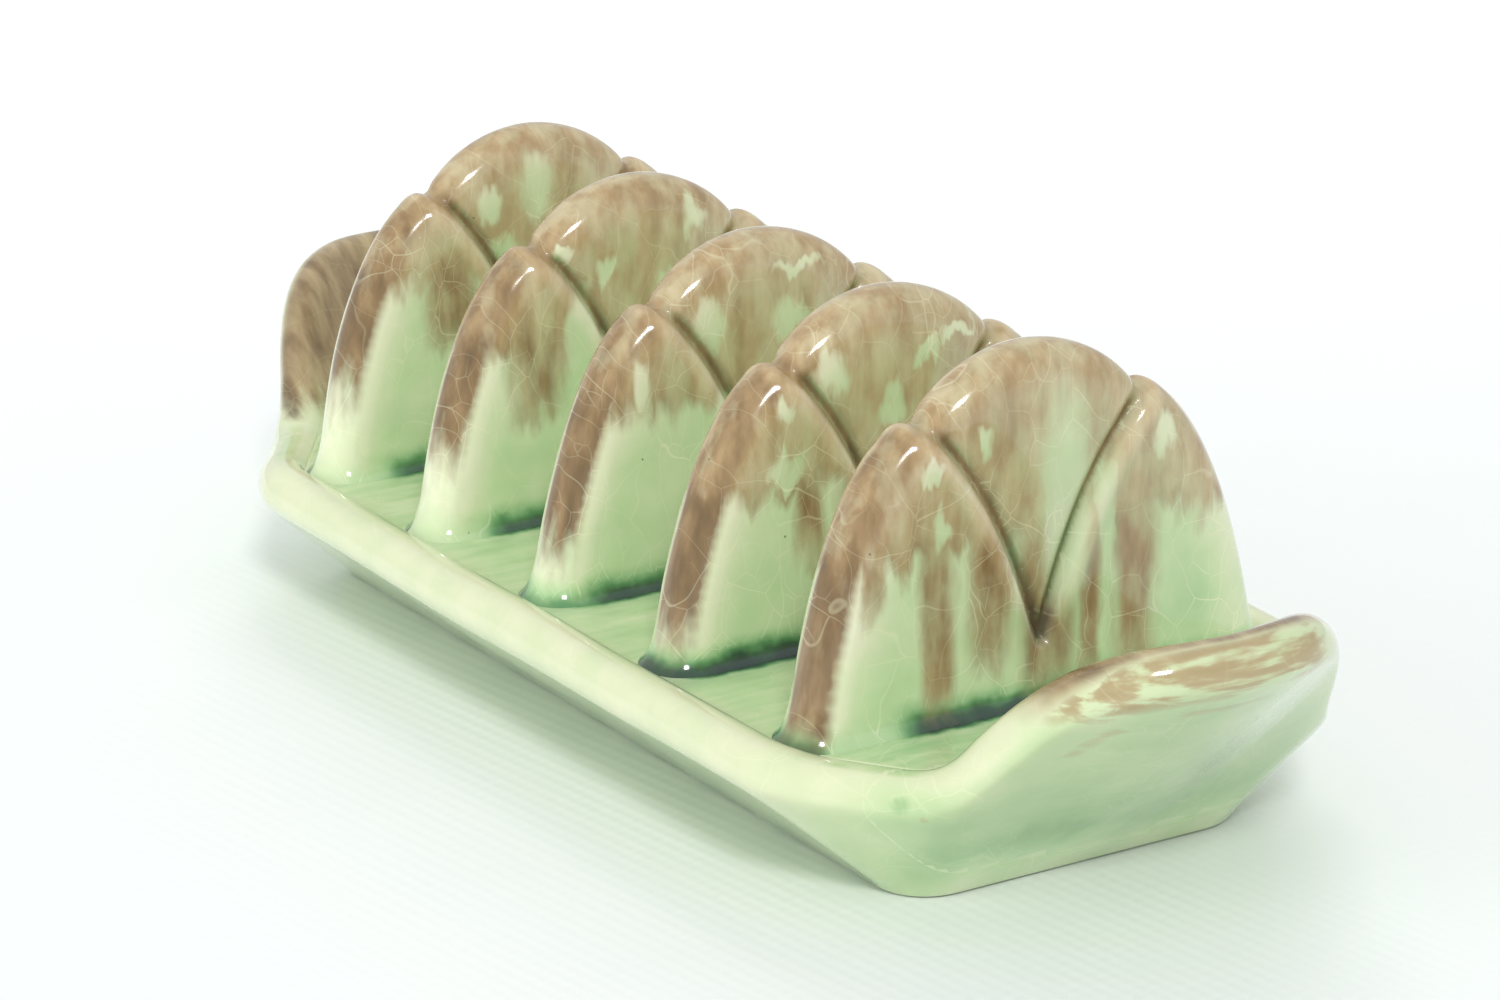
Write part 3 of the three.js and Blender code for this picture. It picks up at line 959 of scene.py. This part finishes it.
def body_glaze(name):
    glaze = Glaze(name)
    x, y, z = glaze.x, glaze.y, glaze.z
    crest, out, up = (glaze.layer(n) for n in ("from_crest", "facing_out", "facing_up"))
    end = abs(x).rises(58.0, 68.0)
    rim = crest.falls(2.2, 6.0)
    inside = out.falls(0.0, 0.6)

    # Brushed floor, thin rim, and a wall that grows darker and greener towards the bottom: partly glaze that
    # ran down, partly painted shade.
    brushed = glaze.cloud(1.7, 3, glaze.stretched(1, 0.12, 1))
    depth = 0.34 + (glaze.cloud(7, 3) - 0.5) * 0.26
    floor = up.rises(0.9, 0.99) * z.falls(15.6, 16.2) * z.rises(13.0, 14.0)
    depth = depth + floor * ((brushed - 0.5) * 0.35 + 0.06 + abs(x).rises(52.0, 58.0) * 0.1)
    # Painted shade, partly glaze that ran: the wall darkens towards the bottom, an end wall most of all.
    wall = out.rises(0.2, 0.6) * (z.falls(1.0, 13.0) * 0.14 + end * (0.1 + 0.12 * z.falls(2.0, 24.0)))
    depth = depth + wall - rim * 0.08
    depth = depth + glaze.spot((66.4, -25.4, 13.6), 1.5) * 0.16

    # Pools round the feet of the dividers.
    uneven = (glaze.cloud(2.5, 2) - 0.5) * 1.6
    pools = None
    for divider in DIVIDERS:
        low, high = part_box(divider)
        ahead = x - (low.x + high.x) / 2 / MM
        gap_x = (abs(ahead) - THICKNESS / 2 / MM).most(0.0)
        gap_y = (abs(y) - FOOT_HALF_MM).most(0.0)
        gap = (gap_x * gap_x + gap_y * gap_y).root() + uneven + ahead.falls(-1.0, 1.0) * 0.9
        deep = pool_strength(glaze, y * ahead.sign(), COATS[divider])
        pool = gap.falls(0.9, 4.2) * deep
        pools = pool if pools is None else pools.most(pool)
    on_floor = z.rises(12.5, 14.0) * out.falls(0.3, 0.7)
    depth = depth.most(pools * (1 - rim * 0.6) * on_floor)

    # Tan inside the grips and over their lips, with broken brown streaks along the outer side of a lip.
    along_lip = glaze.cloud(1.6, 4, glaze.stretched(0.5, 0.14, 1))
    down_wall = glaze.cloud(2.4, 3, glaze.stretched(0.3, 1, 0.25))
    shaken = z + (down_wall - 0.5) * 8
    inner_coat = inside * abs(x).rises(64.0, 68.0) * shaken.rises(14.5, 19.0)
    inner_coat = inner_coat * (y - 4 * x.sign()).rises(-23.0, -19.0)
    inner_coat = inner_coat * z.rises(14.2, 15.4)
    lip = crest.falls(3.4, 5.6) * z.rises(22.5, 26.0) * along_lip.rises(0.38, 0.54) * y.falls(8.0, 12.0)
    tan = (inner_coat * (0.9 + 0.4 * (down_wall - 0.4))).most(lip * 0.85 * out.rises(0.0, 0.5))
    under_lip = crest.hump(6.2, 1.6) * out.rises(0.3, 0.6) * z.rises(16.0, 20.0) * y.falls(0.0, 9.0)
    smear = under_lip * glaze.cloud(2.4, 3, glaze.stretched(0.3, 0.2, 1)).rises(0.4, 0.55)
    tan = tan.most(smear * 0.5).most(out.rises(0.3, 0.7).most(rim) * 0.13)
    tan = tan.most(glaze.spot((67.6, -23.2, 12.4), 0.8) * 0.6).most(glaze.spot((76.6, 8.6, 16), 0.7) * 0.9)
    drip = inner_coat * z.falls(15.5, 19.0)
    tan_depth = 0.26 + (along_lip - 0.45) * 0.7 * (1 - inner_coat) + (down_wall - 0.42) * 1.3 * inner_coat
    tan_depth = tan_depth + drip * 0.35 + inner_coat * 0.24
    return finish_glaze(glaze, depth, tan, tan_depth, (0.5, 0.5, 0.8), 0.35, 0.0)


glazes["tray"] = body_glaze("glaze_tray")
glazes["grip_1"] = glazes["grip_2"] = body_glaze("glaze_grips")
for node, piece in pieces.items():
    piece.data.materials.clear()
    piece.data.materials.append(glazes[node])
print("every piece has its glaze")

# %% [markdown]
# ## Floor and light
# The rack stands on pale, faintly woven card. There are three lamps: one of modest size above the
# camera draws the small bright glints along the leaves' shoulders and on the lip, a broad soft one on
# the left throws the shadow to the right, and one hangs over the card behind to whiten it. Only the
# first is mirrored in the glaze. A pale surrounding fills the rest.

# %% Card
CARD_SIZE = 6
WEAVE_TURN = 38  # degrees
WEAVE_PACE = 2.6  # radians of the ribs' wave to the millimetre

start_clean()
bpy.ops.mesh.primitive_plane_add(size=CARD_SIZE)
card = bpy.context.object
card.name = "card"
weave = Glaze("pale_card")
slant = {"Vector": weave.place, "Rotation": (0, 0, math.radians(WEAVE_TURN))}
turned = weave.add("ShaderNodeMapping", {}, slant)
across, beside = (weave.add("ShaderNodeSeparateXYZ", {}, {0: turned}, i) for i in range(2))
ribs = (across * WEAVE_PACE).sine() * (beside * WEAVE_PACE).sine()
relief = {"Strength": 0.25, "Distance": 0.0001, "Height": ribs * weave.cloud(9, 2)}
grain = weave.add("ShaderNodeBump", {}, relief)
paper = {"Base Color": (0.84, 0.87, 0.865, 1), "Roughness": 0.42, "Normal": grain}
weave.close(weave.add("ShaderNodeBsdfPrincipled", {}, paper))
card.data.materials.append(weave.material)
print("card is", round(card.dimensions.x, 2), "m wide")


# %% Lamps
SURROUNDING = (0.98, 1.0, 0.995, 1)
SURROUNDING_STRENGTH = 0.66


def lamp(name, place, size, power, tint=(1, 1, 1), aimed=True, mirrored=False):
    """A square lamp, turned to the rack or else hanging straight down."""
    light = bpy.data.objects.new(name, bpy.data.lights.new(name, "AREA"))
    bpy.context.scene.collection.objects.link(light)
    light.location = place
    if aimed:
        light.rotation_euler = (-Vector(place)).to_track_quat("-Z", "Y").to_euler()
    light.visible_glossy = mirrored
    light.data.size, light.data.energy, light.data.color = size, power, tint


lamp("glint", (1.85, -0.82, 1.77), 0.5, 32, mirrored=True)
lamp("window", (-0.35, -1.9, 0.36), 1.2, 18, (0.98, 1, 1))
lamp("far_card", (-0.75, 0.55, 0.7), 0.7, 6.5, aimed=False)
studio = bpy.data.worlds.new("studio")
bpy.context.scene.world = studio
studio.use_nodes = True
background = studio.node_tree.nodes["Background"].inputs
background["Color"].default_value = SURROUNDING
background["Strength"].default_value = SURROUNDING_STRENGTH
bpy.context.scene.view_settings.view_transform = "Standard"
